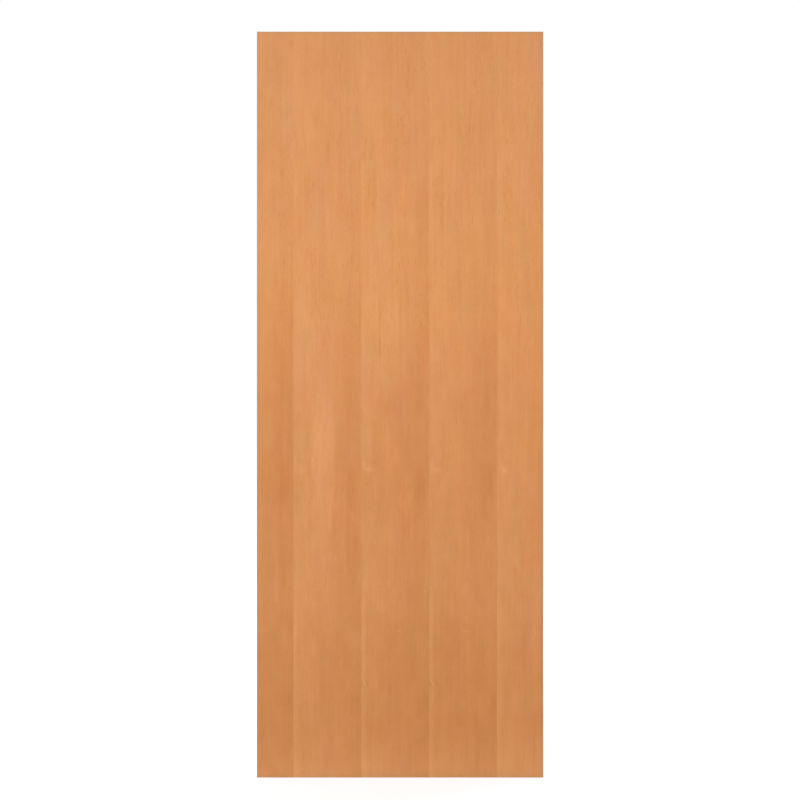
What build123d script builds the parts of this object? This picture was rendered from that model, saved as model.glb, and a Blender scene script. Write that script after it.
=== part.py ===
"""Batten core flush door leaf, 1980 x 760 x 38 mm, unhung and unmachined.

Row frame: +Z up. The origin is at the foot of the hinge edge, at mid thickness.
+X runs across the leaf to the lock edge, and -Y is the front face.

The leaf is a softwood frame (two stiles and two rails) with level battens laid
across it, a lock block at each side, and a solid timber lipping on each long
edge. A plywood skin closes each face, and each skin carries a slip-matched face
veneer of five leaves, spliced edge to edge. Every batten and rail has two vent
grooves, which come out at the top and bottom edges of the leaf.
"""

import os

from build123d import *

# Overall size
HEIGHT = 1980.0
WIDTH = 760.0
THICKNESS = 38.0
ARRIS = 1.0  # sanded edge all round each face

# Skins, from the face inwards
VENEER = 0.6
PLYWOOD = 3.4
SKIN = VENEER + PLYWOOD

# Face veneer: full leaves of one width, the first and last trimmed to the door
LEAF_PITCH = 180.0
FIRST_LEAF = 97.0  # what is left of the first leaf, at the left of each face

# Frame
LIPPING = 10.0  # solid edge strip on each long edge, under the skins
STILE = 40.0
RAIL = 60.0

# Core
BATTENS = 17
BATTEN = 35.0  # height of one batten
LOCK_BLOCK = 110.0  # width of a lock block
BLOCK_BETWEEN = (7, 11)  # the battens that a lock block stands between

# Vent grooves, in the front of each rail and batten
GROOVE_WIDTH = 6.0
GROOVE_DEPTH = 5.0
GROOVE_OFFSET = 120.0  # from the middle of the leaf

FRONT = -THICKNESS / 2
BACK = THICKNESS / 2
CORE_FRONT = FRONT + SKIN
CORE_BACK = BACK - SKIN
FRAME_LEFT = LIPPING + STILE
FRAME_RIGHT = WIDTH - LIPPING - STILE


def block(x0, x1, y0, y1, z0, z1):
    """A rectangular solid between two corners."""
    centre = ((x0 + x1) / 2, (y0 + y1) / 2, (z0 + z1) / 2)
    return Pos(*centre) * Box(x1 - x0, y1 - y0, z1 - z0)


def single(shape, name):
    """The one solid that a boolean left."""
    solids = shape.solids()
    assert len(solids) == 1, (name, len(solids))
    return solids[0]


def skin_blank(front):
    """The whole skin of one face, its outer edges sanded to an arris."""
    outer, inner = (FRONT, CORE_FRONT) if front else (BACK, CORE_BACK)
    blank = block(0, WIDTH, min(outer, inner), max(outer, inner), 0, HEIGHT)
    face = blank.faces().sort_by(Axis.Y)[0 if front else -1]
    return chamfer(face.edges(), ARRIS)


def leaf_joints(front):
    """Where the veneer leaves meet. Both faces have the same layout, each seen from its own side."""
    joints = [FIRST_LEAF]
    while joints[-1] + LEAF_PITCH < WIDTH:
        joints.append(joints[-1] + LEAF_PITCH)
    edges = [0.0, *joints, WIDTH]
    if not front:
        edges = [WIDTH - x for x in edges]
    return [tuple(sorted(pair)) for pair in zip(edges, edges[1:])]


def grooved(x0, x1, z0, z1):
    """A rail or batten with its two vent grooves."""
    bar = block(x0, x1, CORE_FRONT, CORE_BACK, z0, z1)
    for side in (-1, 1):
        x = WIDTH / 2 + side * GROOVE_OFFSET
        bar -= block(
            x - GROOVE_WIDTH / 2,
            x + GROOVE_WIDTH / 2,
            CORE_FRONT - 1,
            CORE_FRONT + GROOVE_DEPTH,
            z0 - 1,
            z1 + 1,
        )
    return bar


parts = {}

# Faces
for front, word in ((True, "front"), (False, "back")):
    outer = FRONT if front else BACK
    under = outer + (VENEER if front else -VENEER)
    inner = CORE_FRONT if front else CORE_BACK
    blank = skin_blank(front)
    for i, (x0, x1) in enumerate(leaf_joints(front), 1):
        layer = block(x0, x1, min(outer, under), max(outer, under), 0, HEIGHT)
        parts[f"{word}_veneer_leaf_{i}"] = blank & layer
    sheet = block(0, WIDTH, min(under, inner), max(under, inner), 0, HEIGHT)
    parts[f"{word}_plywood_skin"] = blank & sheet

# Frame
parts["hinge_edge_lipping"] = block(0, LIPPING, CORE_FRONT, CORE_BACK, 0, HEIGHT)
parts["lock_edge_lipping"] = block(
    WIDTH - LIPPING, WIDTH, CORE_FRONT, CORE_BACK, 0, HEIGHT
)
parts["hinge_stile"] = block(LIPPING, FRAME_LEFT, CORE_FRONT, CORE_BACK, 0, HEIGHT)
parts["lock_stile"] = block(
    FRAME_RIGHT, WIDTH - LIPPING, CORE_FRONT, CORE_BACK, 0, HEIGHT
)
parts["bottom_rail"] = grooved(FRAME_LEFT, FRAME_RIGHT, 0, RAIL)
parts["top_rail"] = grooved(FRAME_LEFT, FRAME_RIGHT, HEIGHT - RAIL, HEIGHT)

# Core
pitch = (HEIGHT - 2 * RAIL) / (BATTENS + 1)
centres = {n: RAIL + pitch * n for n in range(1, BATTENS + 1)}
low, high = BLOCK_BETWEEN
for n, z in centres.items():
    beside_blocks = low < n < high
    inset = LOCK_BLOCK if beside_blocks else 0.0
    parts[f"core_batten_{n:02d}"] = grooved(
        FRAME_LEFT + inset, FRAME_RIGHT - inset, z - BATTEN / 2, z + BATTEN / 2
    )
block_foot = centres[low] + BATTEN / 2
block_head = centres[high] - BATTEN / 2
parts["hinge_side_lock_block"] = block(
    FRAME_LEFT, FRAME_LEFT + LOCK_BLOCK, CORE_FRONT, CORE_BACK, block_foot, block_head
)
parts["lock_side_lock_block"] = block(
    FRAME_RIGHT - LOCK_BLOCK, FRAME_RIGHT, CORE_FRONT, CORE_BACK, block_foot, block_head
)

os.makedirs("parts", exist_ok=True)
for name, shape in parts.items():
    export_step(single(shape, name), f"parts/{name}.step")
print(len(parts), "nodes, batten pitch", round(pitch, 2), "mm")
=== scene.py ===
import math

import bpy
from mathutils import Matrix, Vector

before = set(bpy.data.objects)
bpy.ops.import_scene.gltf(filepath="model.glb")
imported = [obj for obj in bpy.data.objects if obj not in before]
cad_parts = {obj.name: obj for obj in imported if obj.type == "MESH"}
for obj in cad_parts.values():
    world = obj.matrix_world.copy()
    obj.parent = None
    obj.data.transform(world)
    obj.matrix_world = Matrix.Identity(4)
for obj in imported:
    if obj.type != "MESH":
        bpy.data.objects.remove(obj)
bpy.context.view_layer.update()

# The leaf, in metres. +X runs from the hinge edge to the lock edge, -Y is the front face.
WIDTH, HEIGHT, HALF = 0.760, 1.980, 0.019
LEAF_PITCH, FIRST_LEAF = 0.180, 0.097  # face veneer leaves, seen from their own side
MM = 0.001

scene = bpy.context.scene


# ---------------------------------------------------------------- node writing


class Sheet:
    """One procedural material. Every method returns an output socket."""

    def __init__(self, name):
        self.mat = bpy.data.materials.new(name)
        self.mat.use_nodes = True
        self.nodes = self.mat.node_tree.nodes
        self.links = self.mat.node_tree.links
        self.nodes.clear()
        out = self.nodes.new("ShaderNodeOutputMaterial")
        self.bsdf = self.nodes.new("ShaderNodeBsdfPrincipled")
        self.links.new(self.bsdf.outputs[0], out.inputs["Surface"])
        self.at = self.nodes.new("ShaderNodeTexCoord").outputs["Object"]

    def put(self, socket, value):
        if isinstance(value, bpy.types.NodeSocket):
            self.links.new(value, socket)
        else:
            socket.default_value = value

    def math(self, operation, *values, clamp=False):
        n = self.nodes.new("ShaderNodeMath")
        n.operation, n.use_clamp = operation, clamp
        for socket, value in zip(n.inputs, values):
            self.put(socket, value)
        return n.outputs[0]

    def add(self, a, b):
        return self.math("ADD", a, b)

    def sub(self, a, b):
        return self.math("SUBTRACT", a, b)

    def mul(self, a, b):
        return self.math("MULTIPLY", a, b)

    def times_plus(self, a, b, c):
        return self.math("MULTIPLY_ADD", a, b, c)

    def split(self, vector=None):
        n = self.nodes.new("ShaderNodeSeparateXYZ")
        self.put(n.inputs[0], self.at if vector is None else vector)
        return n.outputs

    def join(self, x=0.0, y=0.0, z=0.0):
        n = self.nodes.new("ShaderNodeCombineXYZ")
        for socket, value in zip(n.inputs, (x, y, z)):
            self.put(socket, value)
        return n.outputs[0]

    def noise(self, vector, detail=1.0, rough=0.5):
        """Noise with cells of 1 unit, about -1 to 1 around 0."""
        n = self.nodes.new("ShaderNodeTexNoise")
        n.noise_dimensions = "3D"
        n.noise_type = "FBM"
        n.normalize = False
        self.put(n.inputs["Vector"], vector)
        n.inputs["Scale"].default_value = 1.0
        n.inputs["Detail"].default_value = detail
        n.inputs["Roughness"].default_value = rough
        return n.outputs[0]

    def cells(self, vector, dimensions="3D"):
        """Distance to a scattered point in each cell of 1 unit."""
        n = self.nodes.new("ShaderNodeTexVoronoi")
        n.voronoi_dimensions = dimensions
        self.put(n.inputs["Vector"], vector)
        n.inputs["Scale"].default_value = 1.0
        return n.outputs["Distance"]

    def range(self, value, low, high, to_low=0.0, to_high=1.0, smooth=True):
        n = self.nodes.new("ShaderNodeMapRange")
        n.interpolation_type = "SMOOTHSTEP" if smooth else "LINEAR"
        n.clamp = True
        for name, v in (
            ("Value", value),
            ("From Min", low),
            ("From Max", high),
            ("To Min", to_low),
            ("To Max", to_high),
        ):
            self.put(n.inputs[name], v)
        return n.outputs[0]

    def curve(self, value, points, smooth=True):
        """A value read off a line through (input, output) points, both in real units."""
        first, last = points[0][0], points[-1][0]
        low = min(v for _, v in points)
        high = max(v for _, v in points)
        n = self.nodes.new("ShaderNodeValToRGB")
        ramp = n.color_ramp
        ramp.interpolation = "EASE" if smooth else "LINEAR"
        while len(ramp.elements) < len(points):
            ramp.elements.new(0.5)
        for e, (p, v) in zip(ramp.elements, points):
            e.position = (p - first) / (last - first)
            g = (v - low) / (high - low)
            e.color = (g, g, g, 1.0)
        self.put(n.inputs[0], self.range(value, first, last, smooth=False))
        grey = self.nodes.new("ShaderNodeSeparateColor")
        self.put(grey.inputs[0], n.outputs[0])
        return self.times_plus(grey.outputs[0], high - low, low)

    def spot(self, u, z, at, size, lean=0.0):
        """A soft spot, 1 in the middle: at and size are (across, up), lean is across per up."""
        du = self.sub(u, at[0])
        dz = self.sub(z, at[1])
        if lean:
            du = self.times_plus(dz, -lean, du)
        a = self.math("POWER", self.mul(du, 1 / size[0]), 2.0)
        b = self.math("POWER", self.mul(dz, 1 / size[1]), 2.0)
        return self.math("EXPONENT", self.mul(self.add(a, b), -1.0))

    def total(self, *terms):
        """The sum of (amount, socket) terms."""
        found = None
        for amount, socket in terms:
            found = (
                self.mul(socket, amount)
                if found is None
                else self.times_plus(socket, amount, found)
            )
        return found

    def wood_colour(self, base, tone, blue=None, red=None):
        """The base colour made lighter or darker by tone, which is in display levels.
        Dark wood is also more saturated. blue and red are shifts of hue."""
        n = self.nodes.new("ShaderNodeCombineColor")
        for i, (b, rate) in enumerate(zip(base, TONE_RATES)):
            e = self.mul(tone, rate)
            if blue is not None:
                e = self.times_plus(blue, (-0.1, 0.0, 1.0)[i], e)
            if red is not None:
                e = self.times_plus(red, (0.8, -0.6, 0.0)[i], e)
            self.put(n.inputs[i], self.mul(self.math("EXPONENT", e), b))
        return n.outputs[0]

    def bump(self, height, distance, strength=1.0):
        n = self.nodes.new("ShaderNodeBump")
        n.inputs["Strength"].default_value = strength
        n.inputs["Distance"].default_value = distance
        self.put(n.inputs["Height"], height)
        return n.outputs[0]

    def facing(self, axis):
        """How far the surface faces along an axis, either way, from 0 to 1."""
        n = self.nodes.new("ShaderNodeNewGeometry")
        s = self.split(n.outputs["Normal"])
        return self.math("ABSOLUTE", s["XYZ".index(axis)])

    def finish(self, colour, roughness, normal=None, specular=0.4):
        self.put(self.bsdf.inputs["Base Color"], colour)
        self.put(self.bsdf.inputs["Roughness"], roughness)
        self.bsdf.inputs["Specular IOR Level"].default_value = specular
        if normal is not None:
            self.put(self.bsdf.inputs["Normal"], normal)
        return self.mat


# How much red, green and blue light change, as logarithms, for one display level of tone
TONE_RATES = (0.0104, 0.0180, 0.0335)


# ---------------------------------------------------------------- face veneer

VENEER = (0.5935, 0.2383, 0.0744)  # at tone 0


def face_veneer(name):
    """Sliced veneer in slip-matched leaves: each leaf repeats its neighbour's figure, a
    little changed. u runs across one leaf from its left joint, leaf counts from the
    first whole one, and tone is the sum of everything, in display levels."""
    s = Sheet(name)
    x, y, z = s.split()
    front = s.math("LESS_THAN", y, 0.0)
    from_right = s.sub(WIDTH, x)
    across = s.times_plus(s.sub(x, from_right), front, from_right)
    from_joint = s.sub(across, FIRST_LEAF)
    leaf = s.math("FLOOR", s.mul(from_joint, 1 / LEAF_PITCH))
    u = s.times_plus(leaf, -LEAF_PITCH, from_joint)
    turn = s.times_plus(front, 40.0, -40.0)  # the back is cut from further along the same log
    drift = s.times_plus(leaf, 0.27, turn)

    # Grain wanders a little from the vertical
    wander = s.noise(s.join(0.5, s.add(drift, 5.4), s.mul(z, 1.7)))
    g = s.times_plus(wander, 4.0 * MM, u)

    def grain(wide, tall, seed, detail=1.0, rough=0.5):
        """Noise with cells so many millimetres wide and tall."""
        v = s.join(
            s.mul(g, 1 / (wide * MM)), s.add(drift, seed + 0.4), s.mul(z, 1 / (tall * MM))
        )
        return s.noise(v, detail, rough)

    # Tone by height: darkest near the foot, lightest at two thirds of the height
    by_height = s.curve(
        z,
        [
            (0.00, 5.0),
            (0.14, -3.3),
            (0.27, -3.2),
            (0.52, 0.4),
            (0.77, 0.3),
            (0.90, 1.6),
            (1.27, 6.2),
            (1.46, 7.0),
            (1.60, 5.3),
            (1.75, 4.3),
            (1.98, 0.6),
        ],
    )

    # Tone across a leaf: light on the left of it and dark on the right, least at the top
    edged = s.noise(s.join(s.mul(u, 1 / 0.05), s.add(drift, 7.4), s.mul(z, 1 / 0.3)))
    level = s.times_plus(edged, 0.12, z)
    # The last joint fades from lower down than the others
    early = s.curve(leaf, [(-1.0, 0.0), (1.0, 0.0), (2.0, 0.06), (3.0, 0.22)], smooth=False)
    high = s.range(s.add(level, early), 1.02, 1.52)
    low = s.range(level, 0.42, 0.68, 1.0, 0.0)
    middle = s.sub(s.sub(1.0, high), low)
    over_top = s.curve(u, [(0.0, 1.1), (0.04, 1.1), (0.08, -0.2), (0.14, -1.3), (0.165, -0.2), (0.18, -0.6)])
    over_middle = s.curve(u, [(0.0, 3.9), (0.04, 3.2), (0.08, 0.8), (0.12, -1.4), (0.15, -4.4), (0.18, -4.4)])
    over_foot = s.curve(u, [(0.0, 4.2), (0.04, 2.0), (0.08, 0.0), (0.15, -2.6), (0.18, -2.8)])
    profile = s.add(
        s.add(s.mul(high, over_top), s.mul(middle, over_middle)), s.mul(low, over_foot)
    )
    # The joints hardly show at the head, and except near the foot the tone turns over a few
    # millimetres
    sides_of_joint = s.curve(u, [(0.0, 1.0), (0.02, 1.0), (0.05, 0.0), (0.135, 0.0), (0.16, -1.0), (0.18, -1.0)])
    turned = s.curve(u, [(0.0, -1.0), (0.007, 0.0), (0.173, 0.0), (0.18, 1.0)], smooth=False)
    profile = s.total(
        (1.0, profile),
        (-0.5, s.mul(sides_of_joint, s.range(z, 1.68, 1.86))),
        (1.0, s.mul(turned, s.curve(z, [(0.30, 0.0), (0.70, 1.0), (1.30, 1.7), (1.75, 0.4)]))),
    )
    # A pale line lies along the right side of each joint, clearest at 0.25 to 0.45 and
    # again, more faintly, round 1.5
    edge = s.mul(
        s.mul(s.range(u, -2.0 * MM, 3.5 * MM), s.range(u, 7.0 * MM, 14.5 * MM, 1.0, 0.0)),
        s.curve(
            z,
            [
                (0.00, 2.8),
                (0.22, 2.6),
                (0.26, 5.4),
                (0.40, 5.0),
                (0.58, 0.4),
                (1.38, 0.4),
                (1.52, 1.5),
                (1.66, 0.4),
            ],
        ),
    )
    edge = s.mul(
        edge, s.curve(leaf, [(-1.0, 0.0), (0.0, 0.7), (1.0, 1.3), (2.0, 1.3), (3.0, 0.7)], smooth=False)
    )
    # Whole leaves differ a little, less towards the top
    each = s.mul(
        s.curve(leaf, [(-1.0, 0.2), (0.0, 1.6), (1.0, -0.8), (2.0, -1.6), (3.0, 0.2)], smooth=False),
        s.range(z, 0.9, 1.4, 1.0, 0.2),
    )
    tone = s.total(
        (1.0, by_height),
        (1.0, profile),
        (1.0, edge),
        (1.0, each),
        # broad bands and clouds
        (1.0, grain(36, 260, 11.0, 1.0)),
        (1.6, grain(15, 130, 23.0, 1.0)),
        (1.5, grain(60, 110, 29.0, 1.0)),
        (1.0, s.mul(grain(30, 60, 17.0, 1.5, 0.6), s.range(z, 0.8, 1.3, 3.1, 2.2))),
        # bands with plain sides
        (0.7, s.range(grain(24, 520, 53.0, 1.0), -0.10, 0.10, -1.0, 1.0)),
        (0.45, s.range(grain(9, 230, 59.0, 0.0), -0.12, 0.12, -1.0, 1.0)),
    )
    streaks = s.total(
        (0.62, grain(6.0, 420, 31.0, 3.0, 0.6)),
        (0.80, grain(4.4, 95, 37.0, 2.0, 0.6)),
        (0.56, grain(3.6, 30, 43.0, 2.0, 0.6)),
    )
    crowd = s.range(grain(46, 150, 61.0, 1.0), -0.25, 0.35, 0.5, 1.7)
    tone = s.times_plus(streaks, crowd, tone)

    # Patches of single leaves, and small marks that come back in every leaf
    def in_leaf(n):
        return s.math("COMPARE", leaf, float(n), 0.1)

    ragged = s.noise(s.join(s.mul(u, 1 / 0.03), 31.4, s.mul(z, 1 / 0.07)), 1.0, 0.6)
    fingers = s.noise(s.join(s.mul(u, 1 / 0.007), 33.4, s.mul(z, 1 / 0.2)), 0.0)
    patch_u = s.times_plus(ragged, 12.0 * MM, u)
    patch_z = s.times_plus(fingers, 50.0 * MM, z)
    sides = s.mul(
        s.range(patch_u, 38 * MM, 64 * MM),
        s.range(s.times_plus(ragged, 2.0 * MM, u), 107 * MM, 113 * MM, 1.0, 0.0),
    )
    ends = s.mul(s.range(patch_z, 0.64, 0.78), s.range(patch_z, 0.96, 1.08, 1.0, 0.0))
    yellow_z = s.times_plus(fingers, 40.0 * MM, z)
    yellow = s.mul(
        s.mul(s.range(u, 44 * MM, 50 * MM), s.range(patch_u, 138 * MM, 156 * MM, 1.0, 0.0)),
        s.mul(s.range(yellow_z, 1.05, 1.12), s.range(yellow_z, 1.24, 1.36, 1.0, 0.0)),
    )

    def one(n, *spots):
        """Spots that only leaf n has, as (strength, at, size)."""
        return s.mul(in_leaf(n), s.total(*[(k, s.spot(u, z, at, size)) for k, at, size in spots]))

    # Dark bands with plain left sides, before a joint
    upper_band = s.mul(
        s.range(u, 142.0 * MM, 145.5 * MM),
        s.mul(s.range(z, 1.33, 1.37), s.range(z, 1.54, 1.60, 1.0, 0.0)),
    )
    lower_band = s.mul(
        s.range(u, 151.5 * MM, 155.0 * MM),
        s.mul(s.range(z, 1.12, 1.16), s.range(z, 1.31, 1.35, 1.0, 0.0)),
    )
    banded = s.total((1.0, upper_band), (0.5, lower_band))

    patches = s.total(
        (6.0, s.mul(in_leaf(0), s.mul(sides, ends))),
        (2.2, s.mul(in_leaf(1), yellow)),
        (-2.2, s.mul(in_leaf(1), banded)),
        (
            1.0,
            one(
                -1,
                (-2.6, (0.150, 0.79), (0.045, 0.11)),
                (-3.5, (0.167, 0.87), (0.004, 0.16)),
                (-3.0, (0.105, 0.60), (0.022, 0.16)),
                (-2.4, (0.126, 1.08), (0.024, 0.10)),
            ),
        ),
        (
            1.0,
            one(
                1,
                (-2.4, (0.050, 0.82), (0.034, 0.19)),
                (-2.2, (0.100, 0.99), (0.050, 0.06)),
                (-9.5, (0.0498, 1.225), (0.0033, 0.038)),
                (-9.5, (0.0497, 1.155), (0.0033, 0.038)),
                (2.0, (0.055, 1.44), (0.045, 0.13)),
                (-2.2, (0.072, 1.150), (0.0014, 0.050)),
                (-3.2, (0.1035, 1.22), (0.0042, 0.075)),
                (2.4, (0.078, 1.20), (0.022, 0.20)),
                (-2.4, (0.155, 0.42), (0.028, 0.10)),
                (-3.4, (0.163, 0.62), (0.011, 0.035)),
                (3.6, (0.022, 0.03), (0.028, 0.045)),
            ),
        ),
        (
            1.0,
            one(
                2,
                (-3.0, (0.040, 0.36), (0.050, 0.26)),
                (2.2, (0.155, 0.52), (0.024, 0.20)),
                (2.6, (0.086, 0.50), (0.018, 0.20)),
                (-5.0, (0.0360, 1.475), (0.0033, 0.070)),
                (-5.5, (0.0842, 1.53), (0.0029, 0.055)),
                (-5.5, (0.1360, 1.72), (0.0026, 0.100)),
                (-2.6, (0.122, 1.02), (0.014, 0.045)),
                (2.0, (0.085, 1.10), (0.030, 0.10)),
                (2.4, (0.176, 0.78), (0.010, 0.14)),
                (-2.6, (0.131, 1.625), (0.0060, 0.006)),
                (-2.6, (0.160, 1.40), (0.009, 0.11)),
            ),
        ),
        (
            1.0,
            one(
                3,
                (-4.0, (0.111, 0.815), (0.004, 0.07)),
                (8.0, (0.0185, 0.815), (0.0062, 0.0105)),
            ),
        ),
        (
            1.0,
            one(
                0,
                (3.6, (0.020, 0.814), (0.011, 0.0085)),
                (-4.0, (0.010, 0.95), (0.040, 0.15)),
                (-3.0, (0.167, 0.52), (0.030, 0.20)),
                (-3.0, (0.164, 0.63), (0.010, 0.035)),
            ),
        ),
    )
    step = s.mul(leaf, 1.0 * MM)
    mark_u = s.sub(u, step)
    mark_z = s.times_plus(s.sub(1.0, front), -0.43, s.times_plus(leaf, 1.2 * MM, z))
    waves = s.math("SINE", s.mul(mark_u, 260.0))
    wavy_z = s.times_plus(waves, 1.6 * MM, mark_z)
    fleck = s.curve(leaf, [(-1.0, 0.0), (0.0, 0.1), (1.0, 0.8), (2.0, 0.7), (3.0, 0.3)], smooth=False)
    fleck = s.mul(fleck, s.times_plus(grain(1.6, 7, 79.0, 1.0), 1.0, 1.0))
    hook = s.curve(leaf, [(-1.0, 0.2), (0.0, 0.4), (1.0, 1.0), (2.0, 1.1), (3.0, 0.3)], smooth=False)
    marks = s.total(
        # a pale fleck with a tail up along the joint, and a dark smudge over it
        (7.0, s.mul(fleck, s.spot(mark_u, mark_z, (0.0225, 0.818), (0.0135, 0.0056), lean=-0.9))),
        (2.6, s.mul(fleck, s.spot(mark_u, mark_z, (0.018, 0.821), (0.0070, 0.0060)))),
        (8.5, s.mul(fleck, s.spot(mark_u, mark_z, (0.0062, 0.832), (0.0040, 0.013)))),
        (-2.4, s.spot(mark_u, mark_z, (0.027, 0.838), (0.014, 0.010))),
        (-1.8, s.spot(mark_u, mark_z, (0.034, 0.808), (0.008, 0.007))),
        # dark smudges before the next joint
        (-3.6, s.spot(mark_u, mark_z, (0.157, 0.780), (0.011, 0.045))),
        (-2.4, s.spot(mark_u, mark_z, (0.151, 1.040), (0.008, 0.050))),
        (-3.0, s.spot(mark_u, mark_z, (0.168, 0.195), (0.013, 0.060))),
        (-3.0, s.spot(mark_u, mark_z, (0.170, 0.206), (0.0065, 0.020))),
        (-2.4, s.spot(mark_u, mark_z, (0.166, 1.460), (0.014, 0.150))),
        # a paler band up the middle of the lower half
        (1.8, s.spot(mark_u, mark_z, (0.101, 0.470), (0.014, 0.200))),
        # a pale wavy line, a slanted one, and a hook at the foot of the joint's pale line
        (4.0, s.mul(hook, s.spot(mark_u, wavy_z, (0.098, 0.391), (0.012, 0.0024)))),
        (1.8, s.spot(mark_u, wavy_z, (0.096, 0.391), (0.015, 0.0030))),
        (2.6, s.spot(mark_u, mark_z, (0.080, 0.402), (0.0022, 0.010), lean=-0.5)),
        (2.6, s.spot(mark_u, mark_z, (0.148, 0.920), (0.0034, 0.018), lean=-0.8)),
        (-2.2, s.spot(mark_u, mark_z, (0.158, 0.905), (0.005, 0.020), lean=-0.8)),
        (-8.0, s.mul(hook, s.spot(mark_u, mark_z, (0.0020, 0.250), (0.0034, 0.009), lean=-0.3))),
        (6.0, s.mul(hook, s.spot(mark_u, mark_z, (0.0070, 0.251), (0.0030, 0.010), lean=-0.6))),
        (-3.0, s.mul(hook, s.spot(mark_u, mark_z, (0.0160, 0.253), (0.0045, 0.009)))),
    )
    tone = s.add(tone, s.times_plus(patches, front, marks))

    # Dark dashes in clusters, mostly high up, long thin lines, and pale strokes low down
    lined = s.times_plus(grain(0.8, 26, 63.0, 1.0), 1.2, 1.0)
    dashes = s.mul(s.range(grain(3.0, 30, 57.0, 2.0), 0.20, 0.50), s.mul(crowd, lined))
    lines = s.range(grain(2.4, 200, 67.0, 1.0), 0.28, 0.55)
    strokes = s.mul(
        s.range(grain(3.4, 36, 73.0, 1.0), 0.20, 0.50),
        s.mul(s.range(z, 0.36, 0.40), s.range(z, 0.60, 1.00, 1.0, 0.3)),
    )
    tone = s.add(
        tone,
        s.total(
            (1.0, s.mul(dashes, s.range(z, 0.9, 1.5, -1.5, -3.6))),
            (-2.0, lines),
            (2.4, strokes),
        ),
    )
    # Real pores and fibre, which only show close up
    def pores(wide, tall, seed):
        far = s.cells(
            s.join(
                s.times_plus(g, 1 / (wide * MM), s.times_plus(leaf, 7.3, s.mul(turn, seed))),
                s.times_plus(z, 1 / (tall * MM), seed),
            ),
            "2D",
        )
        return s.range(far, 0.09, 0.17, 1.0, 0.0)

    pore = s.math("MAXIMUM", pores(0.9, 26, 3.3), pores(1.4, 16, 8.6))
    fibre = grain(0.45, 24, 71.0, 1.0, 0.6)
    tone = s.add(tone, s.total((-7.0, pore), (2.1, fibre)))
    # Painted shade: greyer and a little darker along the outer edges
    from_side = s.math("MINIMUM", x, s.sub(WIDTH, x))
    from_end = s.math("MINIMUM", z, s.sub(HEIGHT, z))
    painted_edge_shade = s.range(s.math("MINIMUM", from_side, from_end), 1.0 * MM, 10.0 * MM, 1.0, 0.0)
    tone = s.times_plus(painted_edge_shade, -3.2, tone)

    # Hue: bluer at the head and foot, yellower over the middle, and warm towards both edges
    warm = s.add(
        s.mul(in_leaf(-1), s.spot(u, z, (0.14, 1.02), (0.10, 0.34))),
        s.mul(in_leaf(3), s.spot(u, z, (0.12, 1.05), (0.06, 0.40))),
    )
    yellower = s.total(
        (1.0, one(0, (0.9, (0.015, 1.06), (0.030, 0.06)), (0.6, (0.165, 1.68), (0.030, 0.09)))),
        (1.0, one(1, (1.0, (0.055, 1.17), (0.060, 0.09)), (0.6, (0.030, 0.93), (0.060, 0.06)))),
    )
    yellower = s.mul(yellower, front)
    outer = s.mul(in_leaf(3), s.spot(u, z, (0.122, 1.00), (0.018, 0.75)))
    blue = s.total(
        (-0.045, yellower),
        (-0.020, outer),
        (0.090, grain(46, 190, 83.0, 1.0)),
        (0.055, grain(14, 80, 89.0, 1.5)),
        (-0.045, warm),
        # the painted edge shade is also bluer, so greyer
        (0.20, painted_edge_shade),
        (
            1.0,
            s.curve(
                z,
                [(0.0, -0.026), (0.55, 0.010), (0.80, -0.022), (1.34, -0.078), (1.70, -0.014), (1.98, 0.095)],
            ),
        ),
        (1.0, s.mul(high, s.range(u, 0.03, 0.10, -0.022, 0.013))),
    )
    red = s.total(
        (-0.012, yellower),
        (-0.003, edge),
        (0.018, outer),
        # and less red in the painted edge shade
        (-0.065, painted_edge_shade),
        (0.028, grain(34, 150, 97.0, 1.0)),
        (0.015, grain(12, 60, 101.0, 1.5)),
        # the pale band along each joint is yellower at 0.4 to 0.6
        (-0.009, s.spot(u, z, (0.025, 0.480), (0.035, 0.140))),
        (
            1.0,
            s.curve(
                z,
                [(0.0, 0.003), (0.4, 0.009), (1.1, 0.018), (1.36, 0.003), (1.58, 0.013), (1.80, -0.009)],
            ),
        ),
        (1.0, s.mul(s.sub(1.0, high), s.range(u, 0.0, 0.10, -0.007, 0.004))),
    )
    colour = s.wood_colour(VENEER, tone, blue, red)

    rough = s.total((0.05, grain(3.0, 60, 111.0, 1.0)), (0.06, pore))
    height = s.total((0.6, fibre), (-1.0, pore), (0.5, grain(2.2, 60, 43.0, 0.0)))
    return s.finish(
        colour, s.add(rough, 0.52), s.bump(height, 0.03 * MM), specular=0.36
    )


# ---------------------------------------------------------------- plywood under the veneer


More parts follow.
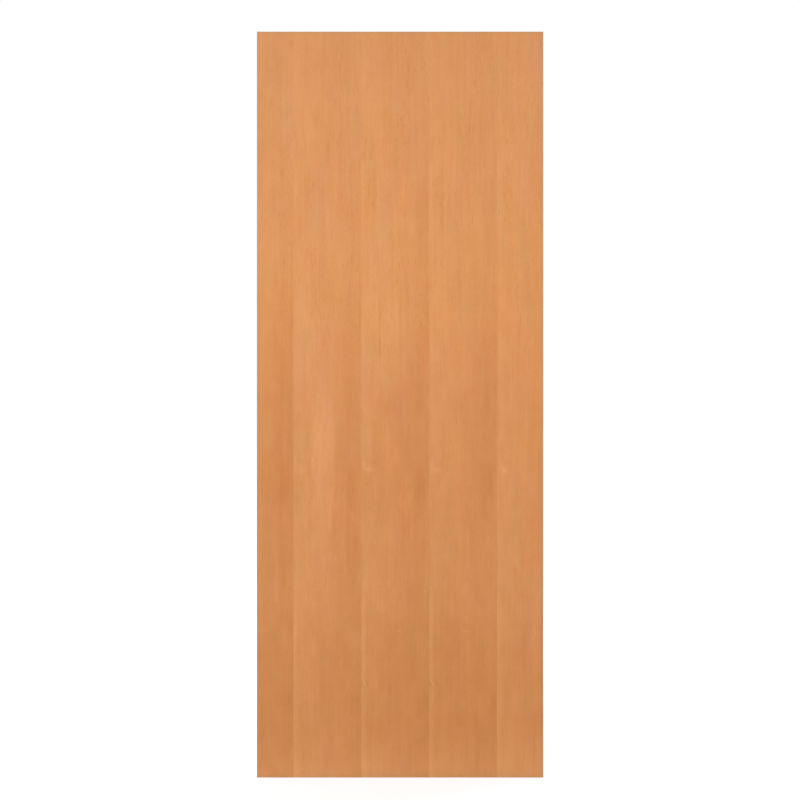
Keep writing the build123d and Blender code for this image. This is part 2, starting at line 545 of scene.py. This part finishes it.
def plywood(name):
    """Two plies below the face veneer: a thick core with its grain level, and a thin
    inner ply with its grain upright, with dark glue lines between them."""
    s = Sheet(name)
    x, y, z = s.split()
    depth = s.math("ABSOLUTE", y)
    core = s.range(depth, 15.78 * MM, 15.84 * MM, smooth=False)
    level = s.join(s.mul(x, 1 / (38 * MM)), s.mul(y, 1 / (0.45 * MM)), s.mul(z, 1 / (0.45 * MM)))
    upright = s.join(s.mul(x, 1 / (0.5 * MM)), s.mul(y, 1 / (0.4 * MM)), s.mul(z, 1 / (30 * MM)))
    a = s.noise(level, 2.0, 0.6)
    b = s.noise(upright, 2.0, 0.6)
    pores_a = s.cells(s.join(s.mul(x, 1 / (9 * MM)), s.mul(y, 1 / (0.7 * MM)), s.mul(z, 1 / (0.7 * MM))))
    pores_b = s.cells(s.join(s.mul(x, 1 / (0.8 * MM)), s.mul(y, 1 / (0.8 * MM)), s.mul(z, 1 / (8 * MM))))
    dark_a = s.range(pores_a, 0.12, 0.26, 1.0, 0.0)
    dark_b = s.range(pores_b, 0.10, 0.22, 1.0, 0.0)
    end_a = s.facing("X")  # the core ply shows its end grain on the long edges
    end_b = s.facing("Z")
    slow = s.noise(s.join(s.mul(x, 1 / 0.12), s.mul(y, 1 / 0.004), s.mul(z, 1 / 0.12)), 2.0)
    tone_a = s.total((8.0, a), (-9.0, dark_a), (-13.0, end_a), (6.0, slow))
    tone_b = s.total((7.0, b), (-8.0, dark_b), (-11.0, end_b), (5.0, slow))
    mix = s.times_plus(s.sub(tone_a, tone_b), core, s.add(tone_b, 4.0))
    glue = s.add(
        s.range(s.math("ABSOLUTE", s.sub(depth, 15.81 * MM)), 0.04 * MM, 0.09 * MM, 1.0, 0.0),
        s.range(s.math("ABSOLUTE", s.sub(depth, 18.38 * MM)), 0.04 * MM, 0.09 * MM, 1.0, 0.0),
    )
    tone = s.times_plus(glue, -38.0, mix)
    colour = s.wood_colour((0.56, 0.31, 0.145), tone)
    rough = s.times_plus(a, 0.06, 0.66)
    return s.finish(colour, rough, s.bump(s.add(a, b), 0.05 * MM), specular=0.3)


# ---------------------------------------------------------------- lipping


def hardwood(name, seed):
    """Lipping: upright grain, short open pores, and slow ribbons of light and dark."""
    s = Sheet(name)
    x, y, z = s.split()

    wander = s.times_plus(
        s.noise(s.join(0.5, seed + 9.4, s.mul(z, 1 / 0.35))), 2.5 * MM, y
    )

    def grain(wide, tall, w, detail=1.0, rough=0.5):
        return s.noise(
            s.join(
                s.times_plus(x, 1 / (wide * MM), 2.7 * (seed + w)),
                s.mul(wander, 1 / (wide * MM)),
                s.times_plus(z, 1 / (tall * MM), 0.63 * (seed + w)),
            ),
            detail,
            rough,
        )

    far = s.cells(s.join(s.mul(x, 1 / (1.0 * MM)), s.mul(y, 1 / (1.0 * MM)), s.mul(z, 1 / (22 * MM))))
    pore = s.range(far, 0.10, 0.24, 1.0, 0.0)
    end = s.facing("Z")
    fibre = grain(0.5, 22, 5.0, 1.0)
    tone = s.total(
        (7.0, grain(9, 700, 1.0, 1.0)),
        (5.0, grain(3.0, 240, 2.0, 2.0, 0.6)),
        (3.0, grain(22, 420, 3.0, 1.0)),
        (5.0, fibre),
        (2.5, grain(1.1, 60, 9.0, 2.0, 0.6)),
        (-13.0, pore),
        (-16.0, end),
    )
    blue = s.total((0.05, grain(12, 300, 7.0, 1.0)))
    colour = s.wood_colour((0.56, 0.235, 0.090), tone, blue)
    rough = s.total((0.06, fibre), (0.10, pore), (0.12, end))
    height = s.total((0.6, fibre), (-1.2, pore))
    return s.finish(colour, s.add(rough, 0.50), s.bump(height, 0.06 * MM), specular=0.36)


# ---------------------------------------------------------------- softwood frame and core


def softwood(name, axis, pith, spacing, seed):
    """Sawn softwood with growth rings round a pith line. axis is the way the grain runs,
    pith is where the middle of the tree was on the two other axes, in metres."""
    s = Sheet(name)
    x, y, z = s.split()
    along, (p, q) = {"X": (x, (y, z)), "Z": (z, (x, y))}[axis]
    bend_p = s.noise(s.join(s.mul(along, 1 / 0.45), seed + 2.4, 0.5))
    bend_q = s.noise(s.join(s.mul(along, 1 / 0.50), seed + 7.4, 0.5))
    dp = s.times_plus(bend_p, 5.0 * MM, s.sub(p, pith[0]))
    dq = s.times_plus(bend_q, 5.0 * MM, s.sub(q, pith[1]))
    radius = s.math("SQRT", s.add(s.mul(dp, dp), s.mul(dq, dq)))
    ragged = s.noise(s.join(s.mul(along, 1 / 0.06), s.mul(p, 1 / 0.008), s.mul(q, 1 / 0.008)), 2.0, 0.6)
    radius = s.times_plus(ragged, 0.35 * MM, radius)
    uneven = s.noise(s.join(s.mul(radius, 1 / 0.024), seed + 3.4, 0.5), 2.0, 0.55)
    rings = s.times_plus(radius, 1 / (spacing * MM), s.mul(uneven, 1.5))
    phase = s.math("FRACT", rings)
    year = s.noise(s.join(s.times_plus(s.math("FLOOR", rings), 1.37, seed), 0.4, 0.5))
    late = s.mul(s.range(phase, s.times_plus(year, 0.2, 0.45), 0.92), s.range(phase, 0.94, 1.0, 1.0, 0.0))
    late = s.mul(late, s.times_plus(year, 0.9, 0.9))

    def grain(wide, tall, w, detail=1.0):
        return s.noise(
            s.join(
                s.times_plus(along, 1 / (tall * MM), 1.3 * (seed + w)),
                s.times_plus(p, 1 / (wide * MM), 0.7 * (seed + w)),
                s.mul(q, 1 / (wide * MM)),
            ),
            detail,
            0.6,
        )

    fibre = grain(0.45, 18, 5.0, 2.0)
    end = s.facing(axis)
    saw = s.noise(s.join(s.mul(x, 1 / 0.0011), s.mul(y, 1 / 0.012), s.mul(z, 1 / 0.012)))
    tone = s.total(
        (-24.0, late),
        (5.0, fibre),
        (5.0, grain(14, 300, 6.0, 1.0)),
        (-12.0, end),
        (2.0, s.mul(saw, end)),
    )
    blue = s.total((0.06, grain(20, 200, 7.0, 1.0)))
    colour = s.wood_colour((0.71, 0.475, 0.245), tone, blue)
    rough = s.total((-0.10, late), (0.07, fibre), (0.08, end))
    height = s.total((0.7, fibre), (0.8, late), (0.5, s.mul(saw, end)))
    return s.finish(colour, s.add(rough, 0.68), s.bump(height, 0.07 * MM), specular=0.3)


# ---------------------------------------------------------------- who wears what


def wear(node, material):
    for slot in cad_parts[node].material_slots:
        slot.material = material


veneer = face_veneer("face_veneer")
ply = plywood("skin_plywood")
level_pine = softwood("core_softwood", "X", (0.034, 0.93), 3.6, 61.0)
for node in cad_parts:
    if "_veneer_leaf_" in node:
        wear(node, veneer)
    elif node.endswith("plywood_skin"):
        wear(node, ply)
    elif node.startswith("core_batten") or node.endswith("lock_block"):
        wear(node, level_pine)
wear("hinge_edge_lipping", hardwood("hinge_lipping_timber", 3.0))
wear("lock_edge_lipping", hardwood("lock_lipping_timber", 17.0))
wear("hinge_stile", softwood("hinge_stile_softwood", "Z", (0.052, -0.034), 3.1, 21.0))
wear("lock_stile", softwood("lock_stile_softwood", "Z", (0.700, 0.031), 3.7, 33.0))
wear("top_rail", softwood("top_rail_softwood", "X", (-0.046, 1.935), 3.4, 41.0))
wear("bottom_rail", softwood("bottom_rail_softwood", "X", (0.040, 0.052), 3.2, 51.0))


# ---------------------------------------------------------------- floor, light and camera


def floor():
    """A broad pale floor that fades into the white round it."""
    half = 40.0
    mesh = bpy.data.meshes.new("floor")
    mesh.from_pydata(
        [(-half, -half, 0.0), (half, -half, 0.0), (half, half, 0.0), (-half, half, 0.0)],
        [],
        [(0, 1, 2, 3)],
    )
    o = bpy.data.objects.new("floor", mesh)
    scene.collection.objects.link(o)
    s = Sheet("pale_floor")
    x, y, z = s.split()
    speck = s.noise(s.join(*[s.mul(v, 1 / 0.02) for v in (x, y, z)]), 2.0)
    n = s.nodes.new("ShaderNodeCombineColor")
    for i, v in enumerate((0.60, 0.60, 0.595)):
        s.put(n.inputs[i], s.times_plus(speck, 0.006, v))
    # It glows a little, so that it stays white, and less near the door, where the lights reach
    dx = s.sub(x, WIDTH / 2)
    away = s.math("SQRT", s.add(s.mul(dx, dx), s.mul(y, y)))
    s.put(s.bsdf.inputs["Emission Strength"], s.range(away, 0.5, 4.0, 0.50, 0.62))
    # Close to the faces a cooler glow makes up for the warm light that they throw on it
    near = s.mul(
        s.range(s.math("ABSOLUTE", y), 0.0, 0.50, 1.0, 0.0),
        s.range(s.math("ABSOLUTE", dx), 0.30, 0.60, 1.0, 0.0),
    )
    glow = s.nodes.new("ShaderNodeCombineColor")
    for i, v in enumerate((0.0, 0.09, 0.15)):
        s.put(glow.inputs[i], s.times_plus(near, v, 1.0))
    s.put(s.bsdf.inputs["Emission Color"], glow.outputs[0])
    mesh.materials.append(s.finish(n.outputs[0], s.times_plus(speck, 0.03, 0.8), specular=0.0))


def area_light(name, at, aim, size, power):
    data = bpy.data.lights.new(name, "AREA")
    data.shape, data.size, data.energy = "SQUARE", size, power
    o = bpy.data.objects.new(name, data)
    o.location = at
    o.rotation_euler = (Vector(aim) - Vector(at)).to_track_quat("-Z", "Y").to_euler()
    scene.collection.objects.link(o)


floor()
area_light("key", (-1.2, -3.2, 4.6), (0.38, 0.0, 0.9), 3.2, 90.0)
area_light("rear", (2.4, 3.2, 4.4), (0.38, 0.0, 0.9), 3.0, 80.0)

world = bpy.data.worlds.new("white_studio")
world.use_nodes = True
tree = world.node_tree
around = tree.nodes["Background"]  # what lights the object
around.inputs["Color"].default_value = (1.0, 1.0, 1.0, 1.0)
around.inputs["Strength"].default_value = 0.70
behind = tree.nodes.new("ShaderNodeBackground")  # the plain white seen behind it
behind.inputs["Color"].default_value = (1.0, 1.0, 1.0, 1.0)
behind.inputs["Strength"].default_value = 1.01
choose = tree.nodes.new("ShaderNodeMixShader")
tree.links.new(tree.nodes.new("ShaderNodeLightPath").outputs["Is Camera Ray"], choose.inputs[0])
tree.links.new(around.outputs[0], choose.inputs[1])
tree.links.new(behind.outputs[0], choose.inputs[2])
tree.links.new(choose.outputs[0], tree.nodes["World Output"].inputs["Surface"])
scene.world = world
scene.view_settings.view_transform = "Standard"
scene.view_settings.look = "None"

# Square on, far back on a long lens: one metre of the front face is 376.8 pixels of 800
LENS, SENSOR = 100.0, 36.0
distance = 800.0 * LENS / (SENSOR * 376.8)
camera_data = bpy.data.cameras.new("camera")
camera_data.lens, camera_data.sensor_width = LENS, SENSOR
camera_data.clip_end = 200.0
camera = bpy.data.objects.new("camera", camera_data)
camera.location = (0.3798, -HALF - distance, 1.00215)
camera.rotation_euler = (math.radians(90.0), 0.0, 0.0)
scene.collection.objects.link(camera)
scene.camera = camera
